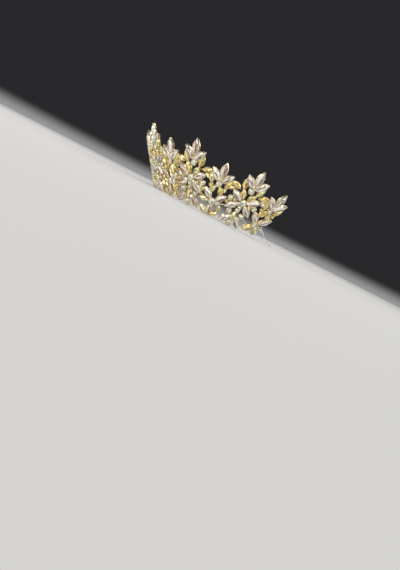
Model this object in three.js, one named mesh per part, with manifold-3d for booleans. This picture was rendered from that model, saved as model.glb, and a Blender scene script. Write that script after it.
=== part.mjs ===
// Bridal crown: an open half ring of foil-backed stones in cup settings, soldered edge to edge.
// Tall and short peaks alternate round the wall. The wall leans outwards, the ring's front faces -Y,
// and the crown stands on its lowest settings. A thin clear thread ties its two ends.
import * as THREE from "three";
import { mergeVertices } from "three/addons/utils/BufferGeometryUtils.js";
import Module from "manifold-3d";

const wasm = await Module();
wasm.setup();

// Driving dimensions, in millimetres and degrees.
const baseRadius = 73; // of the wall's foot, at slant height 0
const wallLean = 33; // outwards from upright
const footHeight = 0.45; // of slant height 0 over the surface that the crown stands on
const ringAxisY = 51.3; // of the upright axis that the wall goes round
const columnPitch = 17.6; // angle between two peaks
const columnsPerSide = 5; // besides the tall peak at the front
const shortDrop = 8.5; // of a short peak below a tall one
const cupHeight = 2.8;
const stoneHeight = 1.7; // of a cut crown over its cup's rim
const cupWall = 0.35;
const cupFloor = 0.9;
const seatGap = 0.3; // round a stone that is a piece of its own
const tableRatio = 0.55;
const wireRadius = 0.55;
const wireDepth = 1; // of a link's axis in front of the wall's back
const loopRadius = 1.9;
const loopWire = 0.5;
const threadRadius = 0.4;

// Outer size of each setting, along its stone and across it.
const cuts = {
  leaf: { shape: "marquise", length: 15.6, width: 7.4 },
  petal: { shape: "marquise", length: 14.4, width: 6.4 },
  shortPetal: { shape: "marquise", length: 12.6, width: 6 },
  lance: { shape: "marquise", length: 11, width: 5 },
  drop: { shape: "pear", length: 9.6, width: 5 },
  bigDrop: { shape: "pear", length: 9.6, width: 6.6 },
  heart: { shape: "round", length: 6.8, width: 6.8 },
  foot: { shape: "round", length: 7.2, width: 7.2 },
  dot: { shape: "round", length: 5.6, width: 5.6 },
};

// A row places one setting in its column: across towards the ring's ends, height up the slant, and
// turn clockwise from upright as seen from the front. Both adds a mirrored copy across the column.
const leaves = [
  { name: "left", across: -5.3, height: 52.8, turn: -43 },
  { name: "middle", across: 0, height: 59.2, turn: 0 },
  { name: "right", across: 5.3, height: 52.8, turn: 43 },
];
const tallColumn = [
  { cut: "dot", across: 0, height: 44.9, turn: 0 },
  { cut: "lance", across: 8.4, height: 48.3, turn: 18, both: true },
  { cut: "lance", across: 4.6, height: 38.8, turn: 27, both: true },
  { cut: "heart", across: 0, height: 30.2, turn: 0 },
  { cut: "petal", across: 8.8, height: 35.4, turn: 57, both: true },
  { cut: "petal", across: 7.85, height: 24.1, turn: 130, both: true },
  { cut: "lance", across: 0, height: 13, turn: 0 },
  { cut: "foot", across: 0, height: 4.3, turn: 0 },
  { cut: "petal", across: 6.4, height: 7.6, turn: 140, both: true },
];
const shortColumn = [
  { cut: "dot", across: 0, height: 36.4, turn: 0 },
  { cut: "lance", across: 8.4, height: 39.8, turn: 18, both: true },
  { cut: "drop", across: 3.7, height: 30.4, turn: -27, both: true },
  { cut: "heart", across: 0, height: 17, turn: 0 },
  { cut: "shortPetal", across: 6.4, height: 23.7, turn: 44, both: true },
  { cut: "shortPetal", across: 0, height: 7.8, turn: 0 },
  { cut: "lance", across: -8.3, height: 16.4, turn: 90 },
  { cut: "dot", across: 5.7, height: 17.8, turn: 0 },
  { cut: "lance", across: 5.5, height: 5.3, turn: 49, both: true },
];
const endColumn = [
  { cut: "dot", across: 0, height: 36.4, turn: 0 },
  { cut: "lance", across: 8.4, height: 39.8, turn: 18, both: true },
  { cut: "drop", across: 3.7, height: 30.2, turn: -27, both: true },
  { cut: "heart", across: 0, height: 15.4, turn: 0 },
  { cut: "petal", across: 6.4, height: 23, turn: 42, both: true },
  { cut: "bigDrop", across: 4.7, height: 9.3, turn: -37, both: true },
];
// Between two columns, across is measured from the line midway, towards the short peak.
const valley = [{ cut: "lance", across: 0.3, height: 44.3, turn: 74 }];

// Each link is a wire between two points, as across and height from and to.
const spineLink = [0, 27.4, 0, 17.8];
const valleyLink = [-1.4, 20.2, 5.4, 17.6];
const endValleyLink = [-1.4, 20.2, 7, 10.5];
const loopLink = [3, 14.8, 8.2, 13.8];
const loopPlace = { across: 9.6, height: 13.6 };

// The thread's route from one end loop down to the surface and round the open back, as x, y, z.
const threadRoute = [
  [81.6, 60.8, 11.2],
  [82.6, 66, 7],
  [81.8, 73, 2.6],
  [78.4, 82, 0.7],
  [66, 97, 0.5],
  [46, 107, 0.5],
  [22, 112.4, 0.5],
  [0, 113.6, 0.5],
];

const radians = THREE.MathUtils.degToRad;
const up = new THREE.Vector3(0, 0, 1);

// The frame of a place on the wall: x across, y up the slant, z out of the wall's front.
function wallFrame(columnAngle, across, height) {
  const radius = baseRadius + height * Math.sin(radians(wallLean));
  const angle = radians(columnAngle) + across / radius;
  const outward = new THREE.Vector3(Math.sin(angle), -Math.cos(angle), 0);
  const x = new THREE.Vector3(Math.cos(angle), Math.sin(angle), 0);
  const y = up
    .clone()
    .multiplyScalar(Math.cos(radians(wallLean)))
    .addScaledVector(outward, Math.sin(radians(wallLean)));
  const z = x.clone().cross(y);
  const origin = outward
    .multiplyScalar(radius)
    .add(new THREE.Vector3(0, ringAxisY, footHeight + height * Math.cos(radians(wallLean))));
  return new THREE.Matrix4().makeBasis(x, y, z).setPosition(origin);
}

function wallPoint(columnAngle, across, height, depth) {
  return new THREE.Vector3(0, 0, depth).applyMatrix4(wallFrame(columnAngle, across, height));
}

// Eight points round a cut stone: a marquise has two tips, a pear one, a round none.
function outline(shape, length, width) {
  return Array.from({ length: 8 }, (_, i) => {
    const turn = (i * Math.PI) / 4;
    const side = Math.sin(turn);
    const along = Math.cos(turn);
    const pointed = shape === "marquise" || (shape === "pear" && along > 0.1);
    const x = pointed ? Math.sign(side) * Math.abs(side) ** 0.75 : side;
    const y = pointed ? Math.sign(along) * along * along : along;
    return [(x * width) / 2, (y * length) / 2];
  });
}

// A closed solid through rings of equally many points, each at its own depth.
function loft(rings) {
  const count = rings[0].points.length;
  const positions = rings.flatMap(({ points, depth }) => points.flatMap(([x, y]) => [x, y, depth]));
  const index = [];
  for (let ring = 0; ring + 1 < rings.length; ring++)
    for (let i = 0; i < count; i++) {
      const a = ring * count + i;
      const b = ring * count + ((i + 1) % count);
      index.push(a, a + count, b, b, a + count, b + count);
    }
  const last = (rings.length - 1) * count;
  for (let i = 1; i + 1 < count; i++) {
    index.push(0, i, i + 1);
    index.push(last, last + i + 1, last + i);
  }
  return new THREE.BufferGeometry()
    .setAttribute("position", new THREE.Float32BufferAttribute(positions, 3))
    .setIndex(index);
}

function inset({ shape, length, width }, margin) {
  return outline(shape, length - 2 * margin, width - 2 * margin);
}

function scaled(points, ratio) {
  return points.map(([x, y]) => [x * ratio, y * ratio]);
}

// A cup with its stone set in it, as one solid with eight facets round a table. Only the feet, which
// stand on their rims, have an upright cup wall.
function settingGeometry(cut) {
  const rim = cut === cuts.foot ? [{ points: inset(cut, 0), depth: cupHeight }] : [];
  return loft([
    { points: inset(cut, 0), depth: 0 },
    ...rim,
    { points: scaled(inset(cut, 0), tableRatio), depth: cupHeight + stoneHeight },
  ]);
}

function openCupGeometry(cut) {
  return loft([
    { points: inset(cut, 0.25), depth: 0 },
    { points: inset(cut, 0), depth: cupHeight },
    { points: inset(cut, cupWall), depth: cupHeight },
    { points: inset(cut, cupWall + 0.2), depth: cupFloor },
  ]);
}

function stoneGeometry(cut) {
  const girdle = inset(cut, cupWall + seatGap);
  return loft([
    { points: scaled(girdle, 0.6), depth: cupFloor + seatGap },
    { points: girdle, depth: cupHeight },
    { points: scaled(girdle, tableRatio), depth: cupHeight + stoneHeight },
  ]);
}

// A link's wire in the column or valley at this angle; side -1 mirrors it.
function linkGeometry(columnAngle, side, [fromAcross, fromHeight, toAcross, toHeight]) {
  const start = wallPoint(columnAngle, side * fromAcross, fromHeight, wireDepth);
  const end = wallPoint(columnAngle, side * toAcross, toHeight, wireDepth);
  const length = start.distanceTo(end);
  const section = outline("round", 2 * wireRadius, 2 * wireRadius).filter((_, i) => i % 2 === 0);
  const geometry = loft([
    { points: section, depth: 0 },
    { points: section, depth: length },
  ]);
  const turn = new THREE.Quaternion().setFromUnitVectors(up, end.clone().sub(start).normalize());
  return geometry.applyQuaternion(turn).translate(start.x, start.y, start.z);
}

function solid(geometry) {
  const bare = new THREE.BufferGeometry().setAttribute("position", geometry.getAttribute("position"));
  if (geometry.index) bare.setIndex(geometry.index);
  const merged = mergeVertices(bare, 1e-4);
  return new wasm.Manifold(
    new wasm.Mesh({
      numProp: 3,
      vertProperties: new Float32Array(merged.attributes.position.array),
      triVerts: new Uint32Array(merged.index.array),
    }),
  );
}

function geometryOf(manifold) {
  const mesh = manifold.getMesh();
  return new THREE.BufferGeometry()
    .setAttribute("position", new THREE.BufferAttribute(new Float32Array(mesh.vertProperties), 3))
    .setIndex(new THREE.BufferAttribute(new Uint32Array(mesh.triVerts), 1));
}

function placeMatrix(columnAngle, { across, height, turn }) {
  const spin = new THREE.Matrix4().makeRotationZ(-radians(turn));
  return wallFrame(columnAngle, across, height).multiply(spin);
}

function mirrored(row) {
  return { ...row, across: -row.across, turn: -row.turn };
}

const columns = [];
for (let number = -columnsPerSide; number <= columnsPerSide; number++) {
  const tall = number % 2 === 0;
  const end = Math.abs(number) === columnsPerSide;
  columns.push({
    angle: number * columnPitch,
    side: Math.sign(number),
    label: String(number + columnsPerSide + 1).padStart(2, "0"),
    tall,
    end,
    drop: tall ? 0 : shortDrop,
    rows: tall ? tallColumn : end ? endColumn : shortColumn,
  });
}

function columnPlaces(column) {
  return column.rows.flatMap((row) => {
    const placed = column.side < 0 ? mirrored(row) : row;
    return row.both ? [placed, mirrored(placed)] : [placed];
  });
}

// The frame: every cup, the stones fused in theirs, the links between them and the end loops.
function frameGeometry() {
  const bodies = [];
  const add = (geometry, matrix) => bodies.push(solid(geometry.applyMatrix4(matrix)));
  for (const column of columns) {
    for (const row of columnPlaces(column))
      add(settingGeometry(cuts[row.cut]), placeMatrix(column.angle, row));
    for (const leaf of leaves)
      add(
        openCupGeometry(cuts.leaf),
        placeMatrix(column.angle, { ...leaf, height: leaf.height - column.drop }),
      );
    if (column.tall) bodies.push(solid(linkGeometry(column.angle, 1, spineLink)));
  }
  for (const [i, column] of columns.slice(0, -1).entries()) {
    const toShort = column.tall ? 1 : -1;
    const middle = (column.angle + columns[i + 1].angle) / 2;
    for (const row of valley)
      add(settingGeometry(cuts[row.cut]), placeMatrix(middle, toShort > 0 ? row : mirrored(row)));
    const link = column.end || columns[i + 1].end ? endValleyLink : valleyLink;
    bodies.push(solid(linkGeometry(middle, toShort, link)));
  }
  for (const side of [-1, 1]) {
    const ring = new THREE.TorusGeometry(loopRadius, loopWire, 5, 10);
    const end = side * columnsPerSide * columnPitch;
    ring.translate(0, 0, wireDepth);
    add(ring, wallFrame(end, side * loopPlace.across, loopPlace.height));
    bodies.push(solid(linkGeometry(end, side, loopLink)));
  }
  let frame = wasm.Manifold.union(bodies);
  const below = new THREE.BoxGeometry(400, 400, 20).translate(0, 0, -10);
  frame = frame.subtract(solid(below));
  return geometryOf(frame);
}

function threadGeometry() {
  const half = threadRoute.map(([x, y, z]) => new THREE.Vector3(x, y, z));
  const other = half
    .slice(0, -1)
    .reverse()
    .map((p) => new THREE.Vector3(-p.x, p.y, p.z));
  const section = new THREE.Shape();
  for (let i = 0; i < 8; i++) {
    const turn = (i * Math.PI) / 4;
    const point = [threadRadius * Math.cos(turn), threadRadius * Math.sin(turn)];
    if (i) section.lineTo(...point);
    else section.moveTo(...point);
  }
  section.closePath();
  return new THREE.ExtrudeGeometry(section, {
    steps: 60,
    bevelEnabled: false,
    extrudePath: new THREE.CatmullRomCurve3([...half, ...other], false, "centripetal"),
  });
}

const goldMetal = new THREE.MeshStandardMaterial({ color: 0xd8ab5a, roughness: 0.3, metalness: 1 });
const clearStone = new THREE.MeshStandardMaterial({ color: 0xe6dad6, roughness: 0.08, metalness: 0.3 });
const clearThread = new THREE.MeshStandardMaterial({ color: 0xd9dbdc, roughness: 0.35, metalness: 0 });

const crown = new THREE.Group();

const frame = new THREE.Mesh(frameGeometry(), goldMetal);
frame.name = "crown_frame";
crown.add(frame);

for (const column of columns)
  for (const leaf of leaves) {
    const stone = new THREE.Mesh(stoneGeometry(cuts.leaf), clearStone.clone());
    stone.name = `peak_${column.label}_stone_${leaf.name}`;
    placeMatrix(column.angle, { ...leaf, height: leaf.height - column.drop }).decompose(
      stone.position,
      stone.quaternion,
      stone.scale,
    );
    crown.add(stone);
  }

const thread = new THREE.Mesh(threadGeometry(), clearThread);
thread.name = "tie_thread";
crown.add(thread);

export default crown;
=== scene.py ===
import math
import random

import bpy
from mathutils import Matrix, Vector


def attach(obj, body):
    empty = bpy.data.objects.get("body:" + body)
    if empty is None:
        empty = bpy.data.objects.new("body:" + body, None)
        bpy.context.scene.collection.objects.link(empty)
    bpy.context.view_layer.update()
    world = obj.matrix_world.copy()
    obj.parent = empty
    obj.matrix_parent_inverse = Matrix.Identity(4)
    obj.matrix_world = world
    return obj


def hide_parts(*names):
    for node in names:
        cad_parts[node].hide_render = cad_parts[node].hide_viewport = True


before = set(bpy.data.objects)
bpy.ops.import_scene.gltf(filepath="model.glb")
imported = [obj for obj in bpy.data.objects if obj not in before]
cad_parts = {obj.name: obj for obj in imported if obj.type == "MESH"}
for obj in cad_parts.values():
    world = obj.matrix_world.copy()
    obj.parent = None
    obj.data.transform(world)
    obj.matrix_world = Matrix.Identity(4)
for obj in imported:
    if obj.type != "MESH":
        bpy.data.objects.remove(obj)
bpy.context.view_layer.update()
mm = 0.001
print("loaded the packed crown")


# the camera, low in front of the crown's right side
view = {
    "place": (364.0, -180.1, 6.0),  # mm
    "azimuth": 54.3,
    "lookDown": 11.6,
    "roll": 27.1,
    "lens": 22.1,
    "sensor": 36,
    "near": 0.001,  # m
    "far": 30,
}


def makeCamera():
    data = bpy.data.cameras.new("crownCamera")
    data.sensor_width = view["sensor"]
    data.lens = view["lens"]
    data.clip_start = view["near"]
    data.clip_end = view["far"]
    camera = bpy.data.objects.new("crownCamera", data)
    bpy.context.scene.collection.objects.link(camera)
    azimuth, down = math.radians(view["azimuth"]), math.radians(view["lookDown"])
    level = math.cos(down)
    backward = Vector((math.sin(azimuth) * level, -math.cos(azimuth) * level, math.sin(down)))
    upright = (-backward).to_track_quat("-Z", "Y")
    roll = Matrix.Rotation(math.radians(view["roll"]), 3, "Z")
    camera.rotation_mode = "QUATERNION"
    camera.rotation_quaternion = upright @ roll.to_quaternion()
    camera.location = Vector(view["place"]) * mm
    bpy.context.scene.camera = camera


makeCamera()
print("placed the camera")


crease = 42  # degrees; an edge that turns more stays sharp


class MeshBag:
    # gathers points in mm and faces with their finish, then makes one object of them
    def __init__(self):
        self.points, self.faces, self.finish, self.glint, self.tint, self.soft = [], [], [], [], [], []

    def add(self, place, points, faces, finish=0, glint=0.5, tint=0.5, soft=False):
        start = len(self.points)
        for p in points:
            point = place @ Vector(p)
            point.z = max(point.z, 0)  # what stands on the surface is flat there
            self.points.append(point)
        self.faces += [[start + i for i in face] for face in faces]
        self.finish += [finish] * len(faces)
        self.glint += list(glint) if isinstance(glint, list) else [glint] * len(faces)
        self.tint += list(tint) if isinstance(tint, list) else [tint] * len(faces)
        self.soft += [soft] * len(faces)

    def build(self, name, materials):
        mesh = bpy.data.meshes.new(name)
        mesh.from_pydata([p * mm for p in self.points], [], self.faces)
        for material in materials:
            mesh.materials.append(material)
        mesh.polygons.foreach_set("material_index", self.finish)
        mesh.polygons.foreach_set("use_smooth", self.soft)
        for key, values in (("glint", self.glint), ("tint", self.tint)):
            mesh.attributes.new(key, "FLOAT", "FACE").data.foreach_set("value", values)
        mesh.update()
        mesh.set_sharp_from_angle(angle=math.radians(crease))
        piece = bpy.data.objects.new(name, mesh)
        bpy.context.scene.collection.objects.link(piece)
        return piece


def ringFaces(count, rings):
    # quads between rings of points, and a cap on each end
    faces = []
    for ring in range(rings - 1):
        for i in range(count):
            a, b = ring * count + i, ring * count + (i + 1) % count
            faces.append((a, a + count, b + count, b))
    faces.append(tuple(range(count)))
    faces.append(tuple((rings - 1) * count + i for i in reversed(range(count))))
    return faces


def tube(bag, path, radius, sides, glint=0.5):
    points, normal = [], None
    for i, p in enumerate(path):
        ahead = (path[min(i + 1, len(path) - 1)] - path[max(i - 1, 0)]).normalized()
        if normal is None:
            normal = ahead.orthogonal().normalized()
        normal = (normal - ahead * normal.dot(ahead)).normalized()
        side = ahead.cross(normal)
        for k in range(sides):
            turn = 2 * math.pi * k / sides
            points.append(p + (normal * math.cos(turn) + side * math.sin(turn)) * radius)
    bag.add(Matrix(), points, ringFaces(sides, len(path)), glint=glint, soft=True)


drop = {"rings": 4, "sides": 8, "uneven": 0.12, "flat": 0.7, "polishAndPaintedShade": 0.55}


def lump(bag, place, size, seed):
    # a small flattened drop, of solder or of melted thread
    draw = random.Random(seed)
    rings, sides, uneven = drop["rings"], drop["sides"], drop["uneven"]
    points = []
    for r in range(1, rings):
        lift = math.pi * r / rings
        for k in range(sides):
            turn = 2 * math.pi * k / sides
            bulge = size * (1 + draw.uniform(-uneven, uneven)) * math.sin(lift)
            x, y = math.cos(turn) * bulge, math.sin(turn) * bulge
            points.append((x, y, math.cos(lift) * size * drop["flat"]))
    faces = [tuple(reversed(face)) for face in ringFaces(sides, rings - 1)]
    bag.add(place, points, faces, glint=drop["polishAndPaintedShade"], soft=True)


def smoothPath(corners, step):
    # a centripetal curve through the corners, the one that the crown's own thread follows
    first, last = corners[0] * 2 - corners[1], corners[-1] * 2 - corners[-2]
    full = [first] + corners + [last]
    path = [corners[0]]
    for a, b, c, d in zip(full, full[1:], full[2:], full[3:]):
        t0, t1 = 0.0, math.sqrt((b - a).length)
        t2 = t1 + math.sqrt((c - b).length)
        t3 = t2 + math.sqrt((d - c).length)
        count = max(2, round((c - b).length / step))
        for i in range(1, count + 1):
            t = t1 + (t2 - t1) * i / count
            ab = a * ((t1 - t) / (t1 - t0)) + b * ((t - t0) / (t1 - t0))
            bc = b * ((t2 - t) / (t2 - t1)) + c * ((t - t1) / (t2 - t1))
            cd = c * ((t3 - t) / (t3 - t2)) + d * ((t - t2) / (t3 - t2))
            abc = ab * ((t2 - t) / (t2 - t0)) + bc * ((t - t0) / (t2 - t0))
            bcd = bc * ((t3 - t) / (t3 - t1)) + cd * ((t - t1) / (t3 - t1))
            path.append(abc * ((t2 - t) / (t2 - t1)) + bcd * ((t - t1) / (t2 - t1)))
    return path


class Socket:
    # one output of a node; arithmetic on it adds Math nodes
    def __init__(self, graph, output):
        self.graph, self.output = graph, output

    def maths(self, operation, first, second):
        return self.graph.node("ShaderNodeMath", {"operation": operation}, {0: first, 1: second})

    def __add__(self, other):
        return self.maths("ADD", self, other)

    def __radd__(self, other):
        return self.maths("ADD", other, self)

    def __sub__(self, other):
        return self.maths("SUBTRACT", self, other)

    def __rsub__(self, other):
        return self.maths("SUBTRACT", other, self)

    def __mul__(self, other):
        return self.maths("MULTIPLY", self, other)

    def __rmul__(self, other):
        return self.maths("MULTIPLY", other, self)


class Graph:
    def __init__(self, owner):
        owner.use_nodes = True
        self.tree = owner.node_tree
        self.tree.nodes.clear()

    def node(self, kind, settings, sockets, output=0):
        made = self.tree.nodes.new(kind)
        for key, value in settings.items():
            if key == "stops":
                ramp = made.color_ramp.elements
                while len(ramp) < len(value):
                    ramp.new(0.5)
                for element, (position, colour) in zip(ramp, value):
                    element.position, element.color = position, (*colour, 1)
            else:
                setattr(made, key, value)
        for key, value in sockets.items():
            if isinstance(value, Socket):
                self.tree.links.new(value.output, made.inputs[key])
            else:
                made.inputs[key].default_value = value
        return Socket(self, made.outputs[output]) if made.outputs else None


def mixColour(graph, share, first, second):
    return graph.node("ShaderNodeMix", {"data_type": "RGBA"}, {0: share, 6: first, 7: second}, 2)


def attribute(graph, name):
    return graph.node("ShaderNodeAttribute", {"attribute_name": name}, {}, 2)


def objectPlace(graph):
    return graph.node("ShaderNodeTexCoord", {}, {}, 3)


def noise(graph, place, scale, detail):
    return graph.node("ShaderNodeTexNoise", {}, {"Vector": place, "Scale": scale, "Detail": detail})


def between(graph, value, start, end):
    ends = {"Value": value, "From Min": start, "From Max": end}
    return graph.node("ShaderNodeMapRange", {"interpolation_type": "SMOOTHSTEP"}, ends)


def finishMaterial(name, build):
    material = bpy.data.materials.new(name)
    graph = Graph(material)
    shader = graph.node("ShaderNodeBsdfPrincipled", {}, build(graph))
    graph.node("ShaderNodeOutputMaterial", {}, {"Surface": shader})
    return material


goldLook = {
    "pale": (0.9, 0.8, 0.64, 1),  # round the rose stones, painted reflection of their colour in the gold
    "yellow": (0.93, 0.74, 0.35, 1),  # round the yellow ones
    "wornAndShaded": (0.55, 0.4, 0.19, 1),
    "cloud": 420,
    "grain": 2600,
    "wearAndShade": 0.8,
    "patches": 0.35,
    "roughness": 0.4,
    "polished": 0.1,  # how much smoother the rubbed rims are
    "uneven": 0.2,
    "bump": 0.12,
    "bumpHeight": 0.00004,
}


def goldMetal(graph):
    place = objectPlace(graph)
    cloud = noise(graph, place, goldLook["cloud"], 3)
    grain = noise(graph, place, goldLook["grain"], 2)
    polishAndPaintedShade = attribute(graph, "glint")
    # low polish darkens the gold: worn patches, and painted shade in the back's window and down the cups'
    # sides
    wornAndShaded = (1 - polishAndPaintedShade) * goldLook["wearAndShade"] + (cloud - 0.5) * goldLook["patches"]
    rough = goldLook["roughness"] - polishAndPaintedShade * goldLook["polished"] + (cloud - 0.5) * goldLook["uneven"]
    # the rims' tint is painted reflection of the stones they hold; the backs keep the yellow gold
    freshWithPaintedReflection = mixColour(graph, attribute(graph, "tint"), goldLook["pale"], goldLook["yellow"])
    bump = {"Height": grain, "Strength": goldLook["bump"], "Distance": goldLook["bumpHeight"]}
    return {
        "Base Color": mixColour(graph, wornAndShaded, freshWithPaintedReflection, goldLook["wornAndShaded"]),
        "Metallic": 1.0,
        "Roughness": rough,
        "Normal": graph.node("ShaderNodeBump", {}, bump),
    }


# each stone lies between two ranges of colour, from its dark facets to its light ones: painted shade and
# painted light of the reflections inside the stone
stoneLooks = {
    "rose": {
        "first": [
            (0, (0.06, 0.04, 0.035)),
            (0.3, (0.42, 0.3, 0.22)),
            (0.55, (0.89, 0.72, 0.56)),
            (0.8, (1, 0.95, 0.85)),
        ],
        "second": [
            (0, (0.07, 0.065, 0.095)),
            (0.3, (0.38, 0.34, 0.28)),
            (0.55, (0.88, 0.81, 0.67)),
            (0.8, (1, 0.98, 0.89)),
        ],
    },
    "lemon": {
        "first": [
            (0, (0.13, 0.06, 0.01)),
            (0.3, (0.55, 0.3, 0.035)),
            (0.6, (0.93, 0.68, 0.15)),
            (0.85, (1, 0.94, 0.5)),
        ],
        "second": [
            (0, (0.1, 0.1, 0.03)),
            (0.3, (0.45, 0.45, 0.16)),
            (0.6, (0.86, 0.86, 0.42)),
            (0.85, (1, 1, 0.72)),
        ],
    },
    "frost": {
        "first": [
            (0, (0.2, 0.26, 0.19)),
            (0.3, (0.52, 0.62, 0.49)),
            (0.6, (0.8, 0.89, 0.74)),
            (0.85, (0.97, 1, 0.94)),
        ],
        "second": [
            (0, (0.3, 0.29, 0.17)),
            (0.3, (0.62, 0.6, 0.42)),
            (0.6, (0.86, 0.86, 0.66)),
            (0.85, (1, 1, 0.9)),
        ],
    },
}
glass = {
    "haze": 700,
    "hazeShade": 0.25,
    "foil": 0.55,  # how metallic the backing shows
    "roughness": 0.1,
    "hazeRoughness": 0.12,
    "index": 1.55,
    "gloss": 0.6,
    "glossRoughness": 0.015,
    "glossIndex": 1.6,
}


def stoneFinish(look):
    def build(graph):
        haze = noise(graph, objectPlace(graph), glass["haze"], 2)
        # the facets' painted light and shade, mottled a little by the haze
        shade = attribute(graph, "glint") + (haze - 0.5) * glass["hazeShade"]
        first = graph.node("ShaderNodeValToRGB", {"stops": look["first"]}, {"Fac": shade})
        second = graph.node("ShaderNodeValToRGB", {"stops": look["second"]}, {"Fac": shade})
        return {
            "Base Color": mixColour(graph, attribute(graph, "tint"), first, second),
            "Metallic": glass["foil"],
            "Roughness": glass["roughness"] + haze * glass["hazeRoughness"],
            "IOR": glass["index"],
            "Coat Weight": glass["gloss"],
            "Coat Roughness": glass["glossRoughness"],
            "Coat IOR": glass["glossIndex"],
        }

    return build


threadLook = {
    "grey": (0.86, 0.84, 0.8, 1),
    "clear": (0.95, 0.95, 0.94, 1),
    "cloud": 260,
    "roughness": 0.2,
    "uneven": 0.15,
    "transmission": 0.2,
    "index": 1.53,
}


def threadFinish(graph):
    cloud = noise(graph, objectPlace(graph), threadLook["cloud"], 2)
    return {
        "Base Color": mixColour(graph, cloud, threadLook["grey"], threadLook["clear"]),
        "Roughness": threadLook["roughness"] + cloud * threadLook["uneven"],
        "Transmission Weight": threadLook["transmission"],
        "IOR": threadLook["index"],
    }


gold = finishMaterial("polishedGold", goldMetal)
finishes = {key: finishMaterial(f"{key}Stone", stoneFinish(look)) for key, look in stoneLooks.items()}
clearThread = finishMaterial("clearThread", threadFinish)
frameMaterials = [gold, *finishes.values()]
finishIndex = {key: index for index, key in enumerate(finishes, 1)}  # in the frame's materials
paintedRimReflection = {"rose": 0.1, "frost": 0.55, "lemon": 1.0}  # painted reflection of each stone in its rims and claws, from pale to yellow gold
print("made the finishes")


# places on the leaning wall, in mm, as the crown's source has them
wall = {"baseRadius": 73, "lean": 33, "footHeight": 0.45, "axisY": 51.3}
layout = {"pitch": 17.6, "perSide": 5, "shortDrop": 8.5}  # pitch in degrees
endAngle = layout["perSide"] * layout["pitch"]


def wallPlace(columnAngle, across, height, turn=0.0, depth=0.0):
    # x across, y up the slant, z out of the wall's front; turn is clockwise from upright
    lean = math.radians(wall["lean"])
    radius = wall["baseRadius"] + height * math.sin(lean)
    angle = math.radians(columnAngle) + across / radius
    outward = Vector((math.sin(angle), -math.cos(angle), 0))
    x = Vector((math.cos(angle), math.sin(angle), 0))
    y = Vector((0, 0, math.cos(lean))) + outward * math.sin(lean)
    z = x.cross(y)
    onAxis = Vector((0, wall["axisY"], wall["footHeight"] + height * math.cos(lean)))
    place = Matrix((x, y, z)).transposed().to_4x4()
    place.translation = outward * radius + onAxis + z * depth
    return place @ Matrix.Rotation(-math.radians(turn), 4, "Z")


# the thread that ties the two ends, from the right one to the middle; the rest mirrors it
thread = {
    "radius": 0.4,  # mm
    "route": [
        (81.6, 60.8, 11.2),
        (82.6, 66, 7),
        (81.8, 73, 2.6),
        (78.4, 82, 0.7),
        (66, 97, 0.5),
        (46, 107, 0.5),
        (22, 112.4, 0.5),
        (0, 113.6, 0.5),
    ],
    "sides": 10,
    "step": 1.2,
}

# the end loops; the thread is wound on each, off its outer side
loop = {
    "across": 9.6,
    "height": 13.6,
    "depth": 1.0,
    "radius": 1.9,
    "wire": 0.5,
    "rounds": 28,
    "sides": 12,
    "polishAndPaintedShade": 0.85,
}
knot = {
    "winds": 2,
    "windRadius": 0.93,
    "windSteps": 14,
    "from": 48,  # degrees
    "startsAt": 0.38,  # mm up the loop
    "pitch": 0.84,  # mm down for each turn
    "step": 0.4,
    "sides": 8,
    "thinner": 0.9,  # the wound thread is drawn tight
    "ball": 0.85,
    "ballOff": (0.15, 0.1, 0.05),
    "tail": [(3.6, -1.5, 0.9), (4.7, -2.2, 0.7), (5.4, -3.4, 0)],
    "seed": 5,
}


def loopPlace(side):
    # x points away from the crown's columns at both ends
    place = wallPlace(side * endAngle, side * loop["across"], loop["height"], 0, loop["depth"])
    return place @ Matrix.Diagonal((side, 1, 1, 1))


def makeKnot(side, name):
    place = loopPlace(side)
    steps = knot["windSteps"] * knot["winds"]
    path = []
    for i in range(steps + 1):
        turn = math.radians(knot["from"]) + 2 * math.pi * knot["winds"] * i / steps
        y = knot["startsAt"] - knot["pitch"] * knot["winds"] * i / steps
        x = math.sqrt(loop["radius"] ** 2 - y * y) + knot["windRadius"] * math.cos(turn)
        path.append(Vector((x, y, knot["windRadius"] * math.sin(turn))))
    path = smoothPath(path + [Vector(p) for p in knot["tail"]], knot["step"])
    bag = MeshBag()
    tube(bag, [place @ p for p in path], thread["radius"] * knot["thinner"], knot["sides"])
    ball = place.copy()
    ball.translation = place @ (path[0] + Vector(knot["ballOff"]))
    lump(bag, ball, knot["ball"], knot["seed"] + side)
    piece = bag.build(name, [clearThread])
    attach(piece, "root")
    return piece


def makeThread():
    half = [Vector(p) for p in thread["route"]]
    other = [Vector((-p.x, p.y, p.z)) for p in reversed(half[:-1])]
    path = smoothPath(half + other, thread["step"])
    bag = MeshBag()
    tube(bag, path, thread["radius"], thread["sides"])
    piece = bag.build("tieThread", [clearThread])
    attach(piece, "root")
    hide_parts("tie_thread")
    length = sum((b - a).length for a, b in zip(path, path[1:])) * mm
    tuple(path[0] * mm)
    makeKnot(1, "threadKnotRight")
    makeKnot(-1, "threadKnotLeft")
    [tuple(p * mm) for p in path]
    print(f"made the thread, {length * 1000:.0f} mm long")


makeThread()


# the frame's settings, in mm
cup = {"height": 2.8, "wall": 0.25, "stoneRise": 1.55, "tableRatio": 0.56}

# where the claws stand round a setting, in degrees
sixClaws = (0, 52, 128, 180, 232, 308)
fourClaws = (0, 90, 180, 270)
pearClaws = (0, 100, 180, 260)
roundClaws = (45, 135, 225, 315)


def cutRow(shape, length, width, finish, rim, claws, **more):
    row = {"shape": shape, "length": length, "width": width, "finish": finish, "rim": rim, "claws": claws}
    return row | more


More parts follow.
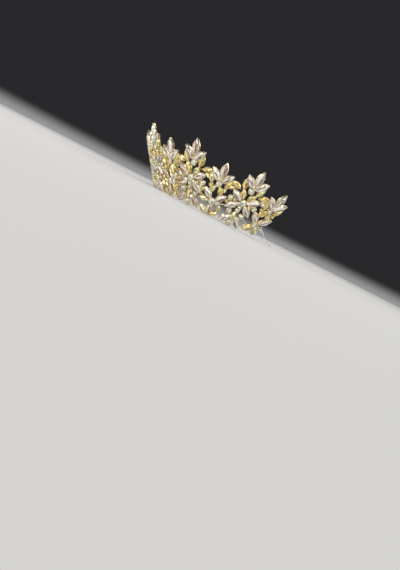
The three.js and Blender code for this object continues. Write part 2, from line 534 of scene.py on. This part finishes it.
# outer size of each setting along its stone and across it, its stone, and the points round its rim
cuts = {
    "leaf": cutRow("marquise", 15.6, 7.4, "rose", 24, sixClaws),
    "petal": cutRow("marquise", 14.8, 6.9, "rose", 22, sixClaws),
    "shortPetal": cutRow("marquise", 12.9, 6.4, "rose", 20, fourClaws),
    "lance": cutRow("marquise", 11.2, 5.3, "lemon", 18, fourClaws),
    "sliver": cutRow("marquise", 7.7, 3.8, "lemon", 16, fourClaws),
    "drop": cutRow("pear", 9.6, 5, "lemon", 18, pearClaws),
    "amberDrop": cutRow("pear", 10.8, 7.6, "lemon", 18, pearClaws, tint=0.3),
    "limeDrop": cutRow("pear", 10.8, 7.6, "lemon", 18, pearClaws, tint=1.0),
    "heart": cutRow("round", 6.8, 6.8, "frost", 20, roundClaws),
    "foot": cutRow("round", 7.2, 7.2, "frost", 20, roundClaws),
    "dot": cutRow("round", 5.8, 5.8, "frost", 16, roundClaws),
    "bead": cutRow("round", 5.3, 5.3, "frost", 14, roundClaws),
    "pip": cutRow("round", 4.3, 4.3, "frost", 12, roundClaws),
    "seed": cutRow("round", 3.8, 3.8, "lemon", 12, roundClaws),
}

# the three leaves of a peak: across, height and turn
leaves = [("left", -5.3, 52.8, -43), ("middle", 0, 59.2, 0), ("right", 5.3, 52.8, 43)]

# cut, across towards the ring's end, height, turn, and whether a mirrored one stands across the column
columnRows = {
    "tall": [
        ("dot", 0, 44.9, 0, False),
        ("lance", 8.4, 48.3, 18, True),
        ("lance", 4.6, 38.8, 27, True),
        ("heart", 0, 30.2, 0, False),
        ("petal", 8.8, 35.4, 57, True),
        ("petal", 7.85, 24.1, 130, True),
        ("lance", 0, 13, 0, False),
        ("foot", 0, 4.3, 0, False),
        ("petal", 6.4, 7.6, 140, True),
        ("seed", 0, 50.3, 0, False),
        ("seed", 8.2, 29.7, 0, True),
        ("pip", 0, 24.6, 0, False),
        ("pip", 0, 20.4, 0, False),
        ("bead", 6.9, 16.4, 0, True),
    ],
    "short": [
        ("dot", 0, 36.4, 0, False),
        ("lance", 8.4, 39.8, 18, True),
        ("drop", 3.7, 30.4, -27, True),
        ("heart", 0, 17, 0, False),
        ("shortPetal", 6.4, 23.7, 44, True),
        ("shortPetal", 0, 7.8, 0, False),
        ("lance", -8.3, 16.4, 90, False),
        ("dot", 5.7, 17.8, 0, False),
        ("lance", 5.5, 5.3, 49, True),
        ("seed", 0, 41.9, 0, False),
        ("seed", 6.9, 32.9, 0, True),
        ("sliver", 8.2, 12.3, 160, False),
    ],
    "end": [
        ("dot", 0, 36.4, 0, False),
        ("lance", 8.4, 39.8, 18, True),
        ("drop", 3.7, 30.2, -27, True),
        ("heart", 0, 15.4, 0, False),
        ("petal", 6.4, 23, 42, True),
        ("limeDrop", 4.9, 8.8, -37, False),
        ("amberDrop", -4.9, 8.8, 37, False),
        ("seed", 0, 41.9, 0, False),
        ("seed", 7.2, 32.9, 0, True),
    ],
}

# between two columns, across is measured from the line midway, towards the short peak
valleyRows = [
    ("lance", 0.3, 44.3, 74),
    ("sliver", 2.8, 39.9, 118),
    ("bead", -1, 30, 0),
    ("seed", 0.5, 24.9, 0),
]
lastValleyRows = [("lance", 0.3, 44.3, 74), ("bead", 3, 39.2, 0), ("bead", -1, 30, 0)]

# wires from across and height to across and height, and what joins the cups otherwise
wires = {
    "radius": 0.55,
    "sides": 10,
    "depth": 1.0,
    "polishAndPaintedShade": 0.7,
    "spine": (0, 27.4, 0, 17.8),
    "valley": (-1.4, 20.2, 5.4, 17.6),
    "endValley": (-5.2, 16, 6.4, 10.4),
    "loop": (3, 14.8, 8.2, 13.8),
    "bridgeRadius": 0.42,
    "bridgeSides": 9,
    "bridgeReach": 4.5,  # the widest gap between two cups that a wire crosses
    "bridgeBite": 0.9,  # of a wire's end under each cup
    "holds": 2,  # how many joints each cup needs
    "touching": 0.3,
    "solder": 0.75,
    "rimPoints": 16,
    "farthest": 15,  # middles further apart than this aren't joined
    "seedStep": 7,
}

pearFoot = 0.08  # how far a pear's widest place lies below its middle, as a share of half its length


def outlinePoint(cut, turn, margin=0.0, ratio=1.0):
    # turn is clockwise from the tip; a ratio below 1 gives an outline further in
    side, along = math.sin(turn), math.cos(turn)
    if cut["shape"] == "round":
        x, y = side, along
    elif cut["shape"] == "marquise":
        x, y = math.copysign(1 - along**4, side), math.copysign(along * along, along)
    elif along > 0:
        x, y = math.copysign(1 - along**4, side), along * along * (1 + pearFoot) - pearFoot
    else:
        x, y = side, along * (1 - pearFoot) - pearFoot
    return x * (cut["width"] / 2 - margin) * ratio, y * (cut["length"] / 2 - margin) * ratio


def outline(cut, count, margin=0.0, ratio=1.0, start=0.0):
    return [outlinePoint(cut, 2 * math.pi * i / count + start, margin, ratio) for i in range(count)]


# the stamped cup's section from the edge of the back's window round the rim to its floor:
# margin as a share of half the width for the first two, then in mm; depth, polish with painted shade (low
# in the back's window and down the cup's sides)
cupSection = [
    (0.56, 0.7, 0.3),
    (0.56, 0.02, 0.9),
    (0.36, 0.0, 0.95),
    (0.16, 0.3, 0.6),
    (0.05, 1.3, 0.6),
    (0.0, 2.55, 0.8),
    (0.05, 2.76, 1.0),
    (0.18, 2.78, 1.0),
    (0.26, 2.5, 0.7),
]
windowRings = 2
backRings, backTint = 4, 0.95  # the back is yellow gold whatever stone the cup holds
# the back's window floor gets the lowest value, painted shade in the recess
floorPaintedShade, mouthPolish = 0.15, 0.4


def addCup(bag, place, cut):
    count, half = cut["rim"], cut["width"] / 2
    points, glint = [], []
    for order, (margin, depth, polishAndPaintedShade) in enumerate(cupSection):
        inset = margin * half if order < windowRings else margin
        points += [(x, y, depth) for x, y in outline(cut, count, inset)]
        glint.append(polishAndPaintedShade)
    shades, tint = [], []
    # the rim takes a painted reflection of the stone's colour
    rimPaintedReflection = paintedRimReflection[cut["finish"]]
    for ring, (below, above) in enumerate(zip(glint, glint[1:])):
        shades += [(below + above) / 2] * count
        tint += [backTint if ring < backRings else rimPaintedReflection] * count
    faces = ringFaces(count, len(cupSection))
    shades += [floorPaintedShade, mouthPolish]
    tint += [backTint, rimPaintedReflection]
    bag.add(place, points, faces, glint=shades, tint=tint, soft=True)


claw = {
    "width": 0.58,
    "thick": 0.3,
    "fullAt": 6,  # a setting this wide or wider has claws of the full size
    "leastWidth": 0.55,
    "leastThick": 0.6,
    "leastRise": 0.6,
    "riseFrom": 2.9,
    "bendFrom": 3.0,  # the depth above which it bends over the stone
    "nearby": 0.03,  # radians to each side, for the outline's direction
    "tipTurn": 0.35,  # above this the claw stands on a tip of the outline
    "lean": 0.25,
}

# the claw's spine over the girdle: outwards from the outline, depth, share of the full width
clawSpine = [(0.02, 1.5, 0.9), (0.1, 2.55, 1.0), (0.0, 3.08, 0.95), (-0.34, 3.3, 0.8), (-0.55, 3.38, 0.5)]


def addClaws(bag, place, cut):
    small = min(1.0, cut["width"] / claw["fullAt"])
    width = claw["width"] * (claw["leastWidth"] + (1 - claw["leastWidth"]) * small) / 2
    thick = claw["thick"] * (claw["leastThick"] + (1 - claw["leastThick"]) * small) / 2
    rising = claw["leastRise"] + (1 - claw["leastRise"]) * small
    for degrees in cut["claws"]:
        turn = math.radians(degrees)
        x, y = outlinePoint(cut, turn)
        ax, ay = outlinePoint(cut, turn - claw["nearby"])
        bx, by = outlinePoint(cut, turn + claw["nearby"])
        tangent = Vector((bx - ax, by - ay, 0)).normalized()
        outward = Vector((x, y, 0)).normalized()
        if abs(tangent.dot(outward)) > claw["tipTurn"]:
            tangent = Vector((outward.y, -outward.x, 0))
        else:
            outward = Vector((-tangent.y, tangent.x, 0))
            if outward.dot(Vector((x, y, 0))) < 0:
                outward.negate()
        points = []
        for i, (out, depth, share) in enumerate(clawSpine):
            reach = out * small if out < 0 else out
            rise = depth
            if depth >= claw["bendFrom"]:
                rise = claw["riseFrom"] + (depth - claw["riseFrom"]) * rising
            middle = Vector((x, y, rise)) + outward * reach
            half = tangent * (width * share)
            lift = (outward + Vector((0, 0, claw["lean"] * i))).normalized() * thick
            points += [middle - half, middle + lift, middle + half, middle - lift]
        faces = ringFaces(4, len(clawSpine))
        # the claws carry the same painted reflection of their stone
        bag.add(place, points, faces, glint=1.0, tint=paintedRimReflection[cut["finish"]], soft=True)


# how high a stone and its rows of points stand, in mm or as shares, and how its facets are shaded with
# painted light and shade
stone = {
    "leastRise": 0.62,
    "roundRise": 0.72,
    "fullAt": 6,  # a stone this wide or wider has the full rise
    "gap": 0.03,
    "girdleBelow": 0.22,
    "girdleHigh": 0.22,
    "footBelow": 1.3,
    "footRatio": 0.62,
    "kiteRise": 0.6,
    "kiteRatio": 0.8,
    "starBelow": 0.14,
    "starRatio": 0.52,
    "middleBelow": 0.36,
    "pairShare": 0.65,  # how much of a facet's painted light comes from its half of the stone
    "halves": ((0.9, 0.25), (0.2, 0.8), (0.75, 0.4), (0.35, 0.95)),
    "inner": ((0.0, 1.0), (1.0, 0.1), (0.85, 0.0), (0.05, 0.9)),
    "kites": 8,
    "tintSpread": 0.3,
    "tintSeed": 7000,
    "leafSeed": 1000,
}

# how dark and how light the painted light of each kind of facet may be
facetLight = {
    "foot": (0.3, 0.3),
    "below": (0.2, 0.6),
    "girdle": (0.5, 0.9),
    "rimBefore": (0.6, 1.0),
    "rimAfter": (0.5, 1.0),
    "kite": (0.2, 1.0),
    "slope": (0.1, 0.9),
    "starBefore": (0.3, 1.0),
    "starAfter": (0.0, 0.9),
    "middle": (0.1, 1.0),
}


def stoneShape(cut, seed):
    # a table with a star below it, eight kites round it and sixteen facets down to the girdle
    draw = random.Random(seed)
    small = min(1, cut["width"] / stone["fullAt"])
    rise = cup["stoneRise"] * (stone["leastRise"] + (1 - stone["leastRise"]) * small)
    if cut["shape"] == "round":
        rise *= stone["roundRise"]
    margin, girdle = cup["wall"] + stone["gap"], cup["height"] - stone["girdleBelow"]
    top, upper = cup["height"] + rise, girdle + stone["girdleHigh"]
    points, faces, glint = [], [], []
    kites = stone["kites"]
    count, halfStep = 2 * kites, math.pi / kites
    # painted light and dark lie lengthwise, one half of the stone against the other
    halves = draw.choice(stone["halves"])
    inner = draw.choice(stone["inner"])

    def ring(count, depth, ratio, start=0.0):
        first = len(points)
        points.extend((x, y, depth) for x, y in outline(cut, count, margin, ratio, start))
        return [first + i for i in range(count)]

    def face(corners, kind, pair=None, order=0):
        own = draw.uniform(*facetLight[kind])
        if pair:
            own = own * (1 - stone["pairShare"]) + stone["pairShare"] * pair[2 * order // kites]
        faces.append(tuple(reversed(corners)))
        glint.append(own)

    foot = ring(count, girdle - stone["footBelow"], stone["footRatio"])
    low = ring(count, girdle, 1.0)
    rim = ring(count, upper, 1.0)
    kite = ring(kites, upper + (top - upper) * stone["kiteRise"], stone["kiteRatio"], halfStep)
    table = ring(kites, top, cup["tableRatio"])
    star = ring(kites, top - stone["starBelow"], cup["tableRatio"] * stone["starRatio"], halfStep)
    middle = len(points)
    points.append((0, 0, top - stone["middleBelow"]))
    face(list(reversed(foot)), "foot")
    for i in range(count):
        j = (i + 1) % count
        face((foot[i], low[i], low[j], foot[j]), "below")
        face((low[i], rim[i], rim[j], low[j]), "girdle")
    # painted light along the rim, then the crown's facets, then the star
    for k in range(kites):
        before, after = (k - 1) % kites, (k + 1) % kites
        face((rim[2 * k], kite[k], rim[2 * k + 1]), "rimBefore")
        face((rim[2 * k + 1], kite[k], rim[2 * after]), "rimAfter")
        face((rim[2 * k], kite[before], table[k], kite[k]), "kite", halves, k)
        face((kite[k], table[k], table[after]), "slope", halves, k)
        face((table[k], star[k], table[after]), "starBefore", inner, k)
        face((table[k], star[before], star[k]), "starAfter", inner, k)
        face((star[before], middle, star[k]), "middle", inner, k)
    return points, faces, glint


def addStone(bag, place, cut, seed, finish):
    points, faces, glint = stoneShape(cut, seed)
    draw = random.Random(seed + stone["tintSeed"])
    whole, spread = cut["tint"] if "tint" in cut else draw.random(), stone["tintSpread"]
    tint = [min(1, max(0, whole + draw.uniform(-spread, spread))) for _ in faces]
    bag.add(place, points, faces, finish, glint, tint)


def columnList():
    found = []
    for number in range(-layout["perSide"], layout["perSide"] + 1):
        tall = number % 2 == 0
        kind = "tall" if tall else "end" if abs(number) == layout["perSide"] else "short"
        found.append({
            "angle": number * layout["pitch"],
            "side": -1 if number < 0 else 1,
            "label": f"{number + layout['perSide'] + 1:02d}",
            "kind": kind,
            "drop": 0 if tall else layout["shortDrop"],
        })
    return found


columns = columnList()


def valleyList():
    # midway between two columns: the angle, the side of the short peak, and whether it is the last
    found = []
    for before, after in zip(columns, columns[1:]):
        angle = (before["angle"] + after["angle"]) / 2
        toShort = 1 if before["kind"] == "tall" else -1
        found.append((angle, toShort, "end" in (before["kind"], after["kind"])))
    return found


valleys = valleyList()


def settingList():
    # every setting of the frame but the leaves: its cut's name, angle, across, height and turn
    found = []
    for column in columns:
        side = column["side"]
        for name, across, height, turn, both in columnRows[column["kind"]]:
            found.append((name, column["angle"], across * side, height, turn * side))
            if both:
                found.append((name, column["angle"], -across * side, height, -turn * side))
    for angle, toShort, last in valleys:
        for name, across, height, turn in lastValleyRows if last else valleyRows:
            found.append((name, angle, across * toShort, height, turn * toShort))
    return found


def addWire(bag, angle, side, link):
    fromAcross, fromHeight, toAcross, toHeight = link
    start = wallPlace(angle, side * fromAcross, fromHeight, 0, wires["depth"]).translation
    end = wallPlace(angle, side * toAcross, toHeight, 0, wires["depth"]).translation
    tube(bag, [start, start.lerp(end, 0.5), end], wires["radius"], wires["sides"], wires["polishAndPaintedShade"])


def addLoop(bag, side):
    rounds, sides = loop["rounds"], loop["sides"]
    points, faces = [], []
    for i in range(rounds):
        turn = side * 2 * math.pi * i / rounds
        for k in range(sides):
            lift = 2 * math.pi * k / sides
            reach = loop["radius"] + loop["wire"] * math.cos(lift)
            points.append((reach * math.cos(turn), reach * math.sin(turn), loop["wire"] * math.sin(lift)))
            a, b = i * sides + k, i * sides + (k + 1) % sides
            over = (i + 1) % rounds - i
            faces.append((a, a + over * sides, b + over * sides, b))
    bag.add(loopPlace(side), points, faces, glint=loop["polishAndPaintedShade"], soft=True)
    addWire(bag, side * endAngle, side, wires["loop"])


def closest(first, second):
    # the nearest pair of outline points of two settings, and the gap between them
    return min(((a - b).length, i, k) for i, a in enumerate(first) for k, b in enumerate(second))


def joinSettings(bag, placed):
    # solder where cups meet, and wires from each loosely held cup to its nearest neighbours
    depth, count = wires["depth"], wires["rimPoints"]
    edges = [[place @ Vector((x, y, depth)) for x, y in outline(cut, count)] for cut, place in placed]
    middles = [place @ Vector((0, 0, depth)) for _, place in placed]
    gaps = {}
    for i in range(len(placed)):
        for k in range(i + 1, len(placed)):
            if (middles[i] - middles[k]).length < wires["farthest"]:
                gaps[i, k] = closest(edges[i], edges[k])
    held = [0] * len(placed)
    for (i, k), (gap, a, b) in gaps.items():
        if gap < wires["touching"]:
            held[i] += 1
            held[k] += 1
            spot = placed[i][1].copy()
            spot.translation = edges[i][a].lerp(edges[k][b], 0.5)
            lump(bag, spot, wires["solder"], i * wires["seedStep"] + k)
    for (i, k), (gap, a, b) in sorted(gaps.items(), key=lambda entry: entry[1][0]):
        if wires["touching"] <= gap < wires["bridgeReach"] and min(held[i], held[k]) < wires["holds"]:
            held[i] += 1
            held[k] += 1
            start, end = edges[i][a], edges[k][b]
            start = start + (middles[i] - start).normalized() * wires["bridgeBite"]
            end = end + (middles[k] - end).normalized() * wires["bridgeBite"]
            path = [start, start.lerp(end, 0.5), end]
            tube(bag, path, wires["bridgeRadius"], wires["bridgeSides"], wires["polishAndPaintedShade"])


def makeFrame():
    bag = MeshBag()
    settings = settingList()
    placed = []
    for seed, (name, angle, across, height, turn) in enumerate(settings):
        cut = cuts[name]
        place = wallPlace(angle, across, height, turn)
        addCup(bag, place, cut)
        addClaws(bag, place, cut)
        addStone(bag, place, cut, seed, finishIndex[cut["finish"]])
        placed.append((cut, place))
    for column in columns:
        for _, across, height, turn in leaves:
            place = wallPlace(column["angle"], across, height - column["drop"], turn)
            addCup(bag, place, cuts["leaf"])
            addClaws(bag, place, cuts["leaf"])
            placed.append((cuts["leaf"], place))
        if column["kind"] == "tall":
            addWire(bag, column["angle"], 1, wires["spine"])
    for angle, toShort, last in valleys:
        addWire(bag, angle, toShort, wires["endValley" if last else "valley"])
    for side in (-1, 1):
        addLoop(bag, side)
    joinSettings(bag, placed)
    piece = bag.build("crownFrame", frameMaterials)
    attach(piece, "root")
    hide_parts("crown_frame")
    print(f"made the frame with {len(settings)} set stones, {sum(len(f) - 2 for f in bag.faces)} triangles")


makeFrame()


def makeLeafStones():
    for number, column in enumerate(columns):
        for order, (name, across, height, turn) in enumerate(leaves):
            bag = MeshBag()
            place = wallPlace(column["angle"], across, height - column["drop"], turn)
            addStone(bag, place, cuts["leaf"], stone["leafSeed"] + number * len(leaves) + order, 0)
            piece = bag.build(f"leafStone_{column['label']}_{name}", [finishes["rose"]])
            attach(piece, "root")
            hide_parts(f"peak_{column['label']}_stone_{name}")
    print("made the leaf stones")


makeLeafStones()


# the floor and what the crown mirrors
studio = {
    "pale": (0.8, 0.79, 0.775, 1),
    "paleFar": (0.56, 0.553, 0.5425, 1),
    "dimFar": (0.3, 0.29625, 0.290625, 1),
    "horizon": (0.3, 0.3, 0.3, 1),
    "backdrop": (0.022, 0.022, 0.024, 1),
    "horizonBand": 0.035,  # of 1 straight up; above it there is only the backdrop
    "room": [(0.46, (0.015, 0.015, 0.02)), (0.58, (0.39, 0.38, 0.37))],
    "roomScale": 2.6,
    "floorRoughness": 0.9,
    "floorGloss": 0.15,
    "floorRadius": 3.0,  # m
    "floorSides": 64,
    "fadeFrom": 0.2,  # m from the middle
    "fadeTo": 0.6,
}


def makeFloor():
    # lit near the crown, and of an even glow further out, where it fades into the backdrop
    radius, sides = studio["floorRadius"], studio["floorSides"]
    turns = [2 * math.pi * i / sides for i in range(sides)]
    mesh = bpy.data.meshes.new("floor")
    rim = [(radius * math.cos(turn), radius * math.sin(turn), 0) for turn in turns]
    mesh.from_pydata(rim, [], [tuple(range(sides))])
    floor = bpy.data.objects.new("floor", mesh)
    bpy.context.scene.collection.objects.link(floor)
    material = bpy.data.materials.new("paleFloor")
    graph = Graph(material)
    away = graph.node("ShaderNodeVectorMath", {"operation": "LENGTH"}, {0: objectPlace(graph)}, 1)
    fade = between(graph, away, studio["fadeFrom"], studio["fadeTo"])
    dim = between(graph, away, studio["fadeFrom"], radius)
    plain = {
        "Base Color": studio["pale"],
        "Roughness": studio["floorRoughness"],
        "Specular IOR Level": studio["floorGloss"],
    }
    near = graph.node("ShaderNodeBsdfPrincipled", {}, plain)
    glow = mixColour(graph, dim, studio["paleFar"], studio["dimFar"])
    far = graph.node("ShaderNodeEmission", {}, {"Color": glow})
    both = graph.node("ShaderNodeMixShader", {}, {0: fade, 1: near, 2: far})
    graph.node("ShaderNodeOutputMaterial", {}, {"Surface": both})
    mesh.materials.append(material)


makeFloor()

crownMiddle = Vector((0, 0, 0.03))  # m; all lights are turned to it

# name, place in metres, width, height, watts
softboxes = [
    ("keyBox", (0.62, -0.62, 0.8), 0.3, 0.24, 3.2),
    ("sideStrip", (1.0, 0.05, 0.4), 0.1, 0.5, 1.85),
    ("frontStrip", (0.05, -1.0, 0.25), 0.1, 0.45, 1.85),
    ("lowStrip", (0.75, -0.55, 0.12), 0.5, 0.06, 1.3),
    ("topBox", (0.0, 0.1, 1.0), 0.4, 0.4, 2.3),
    ("leftBox", (-0.8, -0.4, 0.5), 0.3, 0.3, 2.1),
    ("backBox", (-0.3, 0.9, 0.6), 0.5, 0.3, 2.4),
]


def makeLights():
    for name, place, width, height, watts in softboxes:
        data = bpy.data.lights.new(name, "AREA")
        data.shape = "RECTANGLE"
        data.size, data.size_y, data.energy = width, height, watts
        light = bpy.data.objects.new(name, data)
        light.location = place
        light.rotation_mode = "QUATERNION"
        light.rotation_quaternion = (crownMiddle - Vector(place)).to_track_quat("-Z", "Y")
        bpy.context.scene.collection.objects.link(light)


def makeRoom():
    # the stones and the gold mirror a blotchy room, and the camera sees a plain backdrop
    world = bpy.data.worlds.new("studio")
    bpy.context.scene.world = world
    graph = Graph(world)
    place = graph.node("ShaderNodeTexCoord", {}, {}, 0)
    blotch = noise(graph, place, studio["roomScale"], 1)
    room = graph.node("ShaderNodeValToRGB", {"stops": studio["room"]}, {"Fac": blotch})
    height = graph.node("ShaderNodeSeparateXYZ", {}, {0: place}, 2)
    rise = between(graph, height, 0, studio["horizonBand"])
    backdrop = mixColour(graph, rise, studio["horizon"], studio["backdrop"])
    seen = graph.node("ShaderNodeLightPath", {}, {}, 0)
    light = graph.node("ShaderNodeBackground", {}, {"Color": mixColour(graph, seen, room, backdrop)})
    graph.node("ShaderNodeOutputWorld", {}, {"Surface": light})
    bpy.context.scene.view_settings.view_transform = "Standard"


makeLights()
makeRoom()
print("made the floor, the lights and the room")
